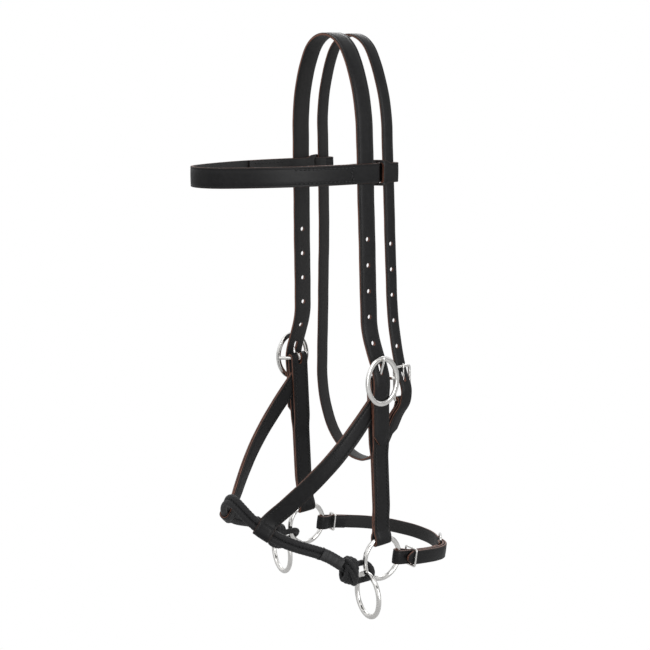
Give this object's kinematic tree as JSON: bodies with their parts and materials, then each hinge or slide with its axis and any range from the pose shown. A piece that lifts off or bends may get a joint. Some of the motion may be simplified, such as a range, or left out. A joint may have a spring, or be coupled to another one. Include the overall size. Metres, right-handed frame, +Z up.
{
  "type": "bitless side-pull bridle",
  "caption": "Black leather bitless bridle: crown with throatlatch and browband, buckled cheeks, braided rope noseband on two hangers, ring pairs for cheeks and reins, buckled chin strap.",
  "frame": {"origin": "underside of the crown strap at the top of the poll, on the strap centre line", "axes": "+X to the horse's near (left) side, -Y towards the front of the face, +Z up the head"},
  "size_m": [0.2028, 0.2841, 0.5737],
  "materials": {
    "black_leather": "smooth, semi-gloss, brown cut edges",
    "bright_nickel": "polished nickel plate",
    "black_rope": "matte fine braid",
    "black_sleeve": "satin shrink sleeve"
  },
  "bodies": {
    "headstall": {"crown_strap": "black_leather", "throatlatch_strap": "black_leather", "throat_buckle_frame": "bright_nickel", "cheek_strap_near": "black_leather", "cheek_strap_off": "black_leather", "cheek_buckle_frame_near": "bright_nickel", "cheek_buckle_frame_off": "bright_nickel", "noseband_hanger_near": "black_leather", "noseband_hanger_off": "black_leather", "noseband_rope_upper": "black_rope", "noseband_rope_lower": "black_rope", "rope_sleeve_near": "black_sleeve", "rope_sleeve_off": "black_sleeve", "rope_knot_near": "black_rope", "rope_knot_off": "black_rope"},
    "brow": {"browband": "black_leather"},
    "cheek_ring_near": {"cheek_ring_near": "bright_nickel"},
    "cheek_ring_off": {"cheek_ring_off": "bright_nickel"},
    "rein_ring_near": {"rein_ring_near": "bright_nickel"},
    "rein_ring_off": {"rein_ring_off": "bright_nickel"},
    "chin": {"chin_strap": "black_leather", "chin_chape": "black_leather", "chin_buckle_frame": "bright_nickel"},
    "keeper_near": {"chin_keeper_near": "bright_nickel"},
    "keeper_off": {"chin_keeper_off": "bright_nickel"},
    "chin_tongue": {"chin_buckle_tongue": "bright_nickel"},
    "cheek_tongue_near": {"cheek_buckle_tongue_near": "bright_nickel"},
    "cheek_tongue_off": {"cheek_buckle_tongue_off": "bright_nickel"},
    "throat_tongue": {"throat_buckle_tongue": "bright_nickel"}
  },
  "joints": [
    {"name": "cheek_ring_near_spin", "type": "hinge", "parent": "headstall", "child": "cheek_ring_near", "pos_m": [0.066, 0.01714, -0.51672], "axis": [1, 0, 0], "continuous": true},
    {"name": "cheek_ring_off_spin", "type": "hinge", "parent": "headstall", "child": "cheek_ring_off", "pos_m": [-0.066, 0.01714, -0.51672], "axis": [1, 0, 0], "continuous": true},
    {"name": "rein_ring_near_swing", "type": "hinge", "parent": "headstall", "child": "rein_ring_near", "pos_m": [0.0718, -0.0085, -0.5316], "axis": [0, -1, 0], "range_deg": [-40, 45]},
    {"name": "rein_ring_off_swing", "type": "hinge", "parent": "headstall", "child": "rein_ring_off", "pos_m": [-0.0718, -0.0085, -0.5316], "axis": [0, 1, 0], "range_deg": [-40, 45]},
    {"name": "chin_strap_swing", "type": "hinge", "parent": "headstall", "child": "chin", "pos_m": [0, 0.01714, -0.51672], "axis": [1, 0, 0], "range_deg": [-50, 35]},
    {"name": "chin_keeper_near_slide", "type": "slide", "parent": "chin", "child": "keeper_near", "axis": [0, 0.989, -0.1478], "range_m": [-0.006, 0.008]},
    {"name": "chin_keeper_off_slide", "type": "slide", "parent": "chin", "child": "keeper_off", "axis": [0, 0.989, -0.1478], "range_m": [-0.004, 0.006]},
    {"name": "chin_buckle_tongue_pivot", "type": "hinge", "parent": "chin", "child": "chin_tongue", "pos_m": [0.04788, 0.10952, -0.53052], "axis": [0, -0.1478, -0.989], "range_deg": [0, 4.5]},
    {"name": "cheek_buckle_tongue_near_pivot", "type": "hinge", "parent": "headstall", "child": "cheek_tongue_near", "pos_m": [0.0678, 0.00741, -0.331], "axis": [0, 0.9986, 0.0523], "range_deg": [0, 8]},
    {"name": "cheek_buckle_tongue_off_pivot", "type": "hinge", "parent": "headstall", "child": "cheek_tongue_off", "pos_m": [-0.0678, 0.00741, -0.331], "axis": [0, -0.9986, -0.0523], "range_deg": [0, 8]},
    {"name": "throat_buckle_tongue_pivot", "type": "hinge", "parent": "headstall", "child": "throat_tongue", "pos_m": [0.0698, 0.03826, -0.35445], "axis": [0, 0.9995, 0.0332], "range_deg": [0, 3.5]},
    {"name": "browband_slide", "type": "slide", "parent": "headstall", "child": "brow", "axis": [0, -0.0332, 0.9995], "range_m": [-0.008, 0.008]}
  ]
}
